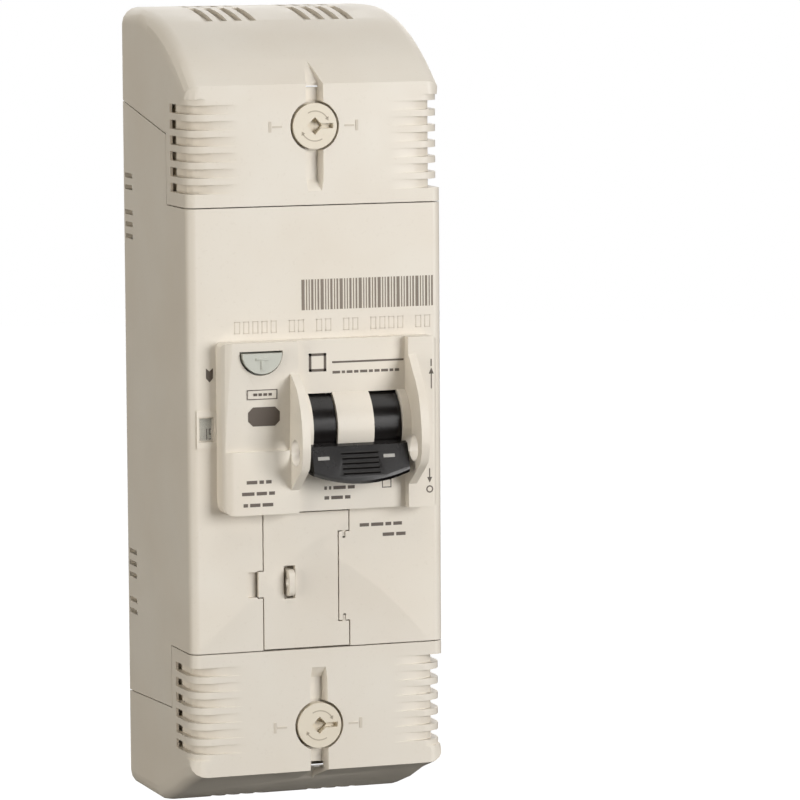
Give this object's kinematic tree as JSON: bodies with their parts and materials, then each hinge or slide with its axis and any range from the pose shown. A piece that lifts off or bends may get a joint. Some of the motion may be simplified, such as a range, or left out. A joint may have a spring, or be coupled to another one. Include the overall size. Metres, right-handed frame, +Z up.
{
  "type": "residual current device",
  "caption": "Tall residual current circuit breaker for a supply board, with a toggle handle, test button, sealed adjustment door and terminal covers.",
  "frame": {"origin": "centre of the flat back face, which rests on the panel", "axes": "+Z up, front towards -Y, +X to the right seen from the front"},
  "size_m": [0.07, 0.0744, 0.2118],
  "materials": {
    "cream_housing": "moulded cream thermoplastic, fine satin grain",
    "cream_screw": "moulded nylon, slightly warmer cream",
    "base_plastic": "moulded glass-filled polyamide",
    "black_handle": "glossy black moulded plastic",
    "grey_button": "moulded light grey",
    "number_strip": "printed pale strip",
    "clear_window": "clear moulded window",
    "dark_plastic": "moulded dark thermoset",
    "steel": "zinc-plated steel",
    "copper": "bare copper",
    "brass": "nickelled brass"
  },
  "bodies": {
    "frame": {"front_housing": "cream_housing", "rear_base": "base_plastic", "pole_barrier_top": "base_plastic", "pole_barrier_bottom": "base_plastic", "rating_window": "clear_window", "trip_relay": "dark_plastic", "test_resistor": "dark_plastic", "handle_axle": "steel", "mechanism_plate_left": "steel", "mechanism_plate_right": "steel", "opening_spring": "steel", "test_button_spring": "steel", "arc_chute_left": "steel", "arc_chute_right": "steel", "bimetal_strip_left": "steel", "bimetal_strip_right": "steel", "toroid_core": "steel", "assembly_screw_1": "steel", "assembly_screw_2": "steel", "assembly_screw_3": "steel", "assembly_screw_4": "steel", "test_contact_leaf": "copper", "fixed_contact_left": "copper", "fixed_contact_right": "copper", "magnetic_coil_left": "copper", "magnetic_coil_right": "copper", "load_conductor_left": "copper", "load_conductor_right": "copper", "toroid_winding": "copper"},
    "handle": {"handle": "black_handle"},
    "link": {"handle_link": "steel"},
    "carrier": {"contact_carrier": "dark_plastic", "moving_contact_left": "copper", "moving_contact_right": "copper"},
    "button": {"test_button": "grey_button"},
    "selector": {"rating_selector": "dark_plastic"},
    "slider": {"rating_slider": "number_strip"},
    "door": {"adjustment_door": "cream_housing"},
    "top_cover": {"top_terminal_cover": "cream_housing"},
    "top_screw": {"top_cover_screw": "cream_screw"},
    "bottom_cover": {"bottom_terminal_cover": "cream_housing"},
    "bottom_screw": {"bottom_cover_screw": "cream_screw"},
    "trip": {"trip_bar": "dark_plastic"},
    "latch": {"latch_lever": "steel"},
    "relay_pin": {"relay_plunger": "steel"},
    "magnet_left": {"magnetic_plunger_left": "steel"},
    "magnet_right": {"magnetic_plunger_right": "steel"},
    "cage_top_left": {"terminal_cage_top_left": "brass"},
    "clamp_screw_top_left": {"terminal_screw_top_left": "steel"},
    "cage_top_right": {"terminal_cage_top_right": "brass"},
    "clamp_screw_top_right": {"terminal_screw_top_right": "steel"},
    "cage_bottom_left": {"terminal_cage_bottom_left": "brass"},
    "clamp_screw_bottom_left": {"terminal_screw_bottom_left": "steel"},
    "cage_bottom_right": {"terminal_cage_bottom_right": "brass"},
    "clamp_screw_bottom_right": {"terminal_screw_bottom_right": "steel"}
  },
  "joints": [
    {"name": "handle_swing", "type": "hinge", "parent": "frame", "child": "handle", "pos_m": [0, -0.055, 0], "axis": [-1, 0, 0], "range_deg": [0, 65]},
    {"name": "link_turn", "type": "hinge", "parent": "handle", "child": "link", "pos_m": [0.009, -0.04488, 0.00645], "axis": [1, 0, 0], "range_deg": [0, 110]},
    {"name": "carrier_turn", "type": "hinge", "parent": "frame", "child": "carrier", "pos_m": [0, -0.02, 0], "axis": [1, 0, 0], "range_deg": [0, 23]},
    {"name": "button_press", "type": "slide", "parent": "frame", "child": "button", "axis": [0, 1, 0], "range_m": [0, 0.002], "stiffness_N_per_m": 300, "deforming": ["test_button_spring"]},
    {"name": "selector_turn", "type": "hinge", "parent": "frame", "child": "selector", "pos_m": [0, -0.049, -0.04], "axis": [0, 1, 0], "range_deg": [0, 160]},
    {"name": "slider_move", "type": "slide", "parent": "frame", "child": "slider", "axis": [0, 0, -1], "range_m": [0, 0.011]},
    {"name": "door_swing", "type": "hinge", "parent": "frame", "child": "door", "pos_m": [0.0072, -0.0571, -0.04], "axis": [0, 0, 1], "range_deg": [0, 110]},
    {"name": "trip_turn", "type": "hinge", "parent": "frame", "child": "trip", "pos_m": [0, -0.03, -0.014], "axis": [-1, 0, 0], "range_deg": [0, 13]},
    {"name": "latch_turn", "type": "hinge", "parent": "frame", "child": "latch", "pos_m": [0.015, -0.037, -0.005], "axis": [-1, 0, 0], "range_deg": [0, 10], "stiffness_Nm_per_rad": 0.002},
    {"name": "relay_push", "type": "slide", "parent": "frame", "child": "relay_pin", "axis": [0, 0, 1], "range_m": [0, 0.0015], "stiffness_N_per_m": 100},
    {"name": "magnet_left_pull", "type": "slide", "parent": "frame", "child": "magnet_left", "axis": [0, 0, 1], "range_m": [0, 0.003], "stiffness_N_per_m": 150},
    {"name": "magnet_right_pull", "type": "slide", "parent": "frame", "child": "magnet_right", "axis": [0, 0, 1], "range_m": [0, 0.003], "stiffness_N_per_m": 150},
    {"name": "top_cover_lift", "type": "slide", "parent": "frame", "child": "top_cover", "axis": [0, -1, 0], "range_m": [0, 0.07]},
    {"name": "top_screw_turn", "type": "hinge", "parent": "top_cover", "child": "top_screw", "pos_m": [0, -0.058, 0.079], "axis": [0, 1, 0], "range_deg": [0, 90]},
    {"name": "clamp_top_left_turn", "type": "hinge", "parent": "frame", "child": "clamp_screw_top_left", "pos_m": [-0.018, -0.044, 0.068], "axis": [0, 1, 0], "range_deg": [0, 2300]},
    {"name": "cage_top_left_lift", "type": "slide", "parent": "frame", "child": "cage_top_left", "axis": [0, -1, 0], "range_m": [0, 0.006]},
    {"name": "clamp_top_right_turn", "type": "hinge", "parent": "frame", "child": "clamp_screw_top_right", "pos_m": [0.018, -0.044, 0.068], "axis": [0, 1, 0], "range_deg": [0, 2300]},
    {"name": "cage_top_right_lift", "type": "slide", "parent": "frame", "child": "cage_top_right", "axis": [0, -1, 0], "range_m": [0, 0.006]},
    {"name": "bottom_cover_lift", "type": "slide", "parent": "frame", "child": "bottom_cover", "axis": [0, -1, 0], "range_m": [0, 0.07]},
    {"name": "bottom_screw_turn", "type": "hinge", "parent": "bottom_cover", "child": "bottom_screw", "pos_m": [0, -0.058, -0.079], "axis": [0, 1, 0], "range_deg": [0, 90]},
    {"name": "clamp_bottom_left_turn", "type": "hinge", "parent": "frame", "child": "clamp_screw_bottom_left", "pos_m": [-0.018, -0.044, -0.068], "axis": [0, 1, 0], "range_deg": [0, 2300]},
    {"name": "cage_bottom_left_lift", "type": "slide", "parent": "frame", "child": "cage_bottom_left", "axis": [0, -1, 0], "range_m": [0, 0.006]},
    {"name": "clamp_bottom_right_turn", "type": "hinge", "parent": "frame", "child": "clamp_screw_bottom_right", "pos_m": [0.018, -0.044, -0.068], "axis": [0, 1, 0], "range_deg": [0, 2300]},
    {"name": "cage_bottom_right_lift", "type": "slide", "parent": "frame", "child": "cage_bottom_right", "axis": [0, -1, 0], "range_m": [0, 0.006]}
  ],
  "couplings": [
    {"joint": "link_turn", "follows": "handle_swing", "ratio": 1.5098},
    {"joint": "carrier_turn", "follows": "handle_swing", "ratio": 0.30769},
    {"joint": "selector_turn", "follows": "slider_move", "rad_per_m": 238},
    {"joint": "trip_turn", "follows": "latch_turn", "ratio": 1.2},
    {"joint": "clamp_top_left_turn", "follows": "cage_top_left_lift", "rad_per_m": 6283.2},
    {"joint": "clamp_top_right_turn", "follows": "cage_top_right_lift", "rad_per_m": 6283.2},
    {"joint": "clamp_bottom_left_turn", "follows": "cage_bottom_left_lift", "rad_per_m": 6283.2},
    {"joint": "clamp_bottom_right_turn", "follows": "cage_bottom_right_lift", "rad_per_m": 6283.2}
  ]
}
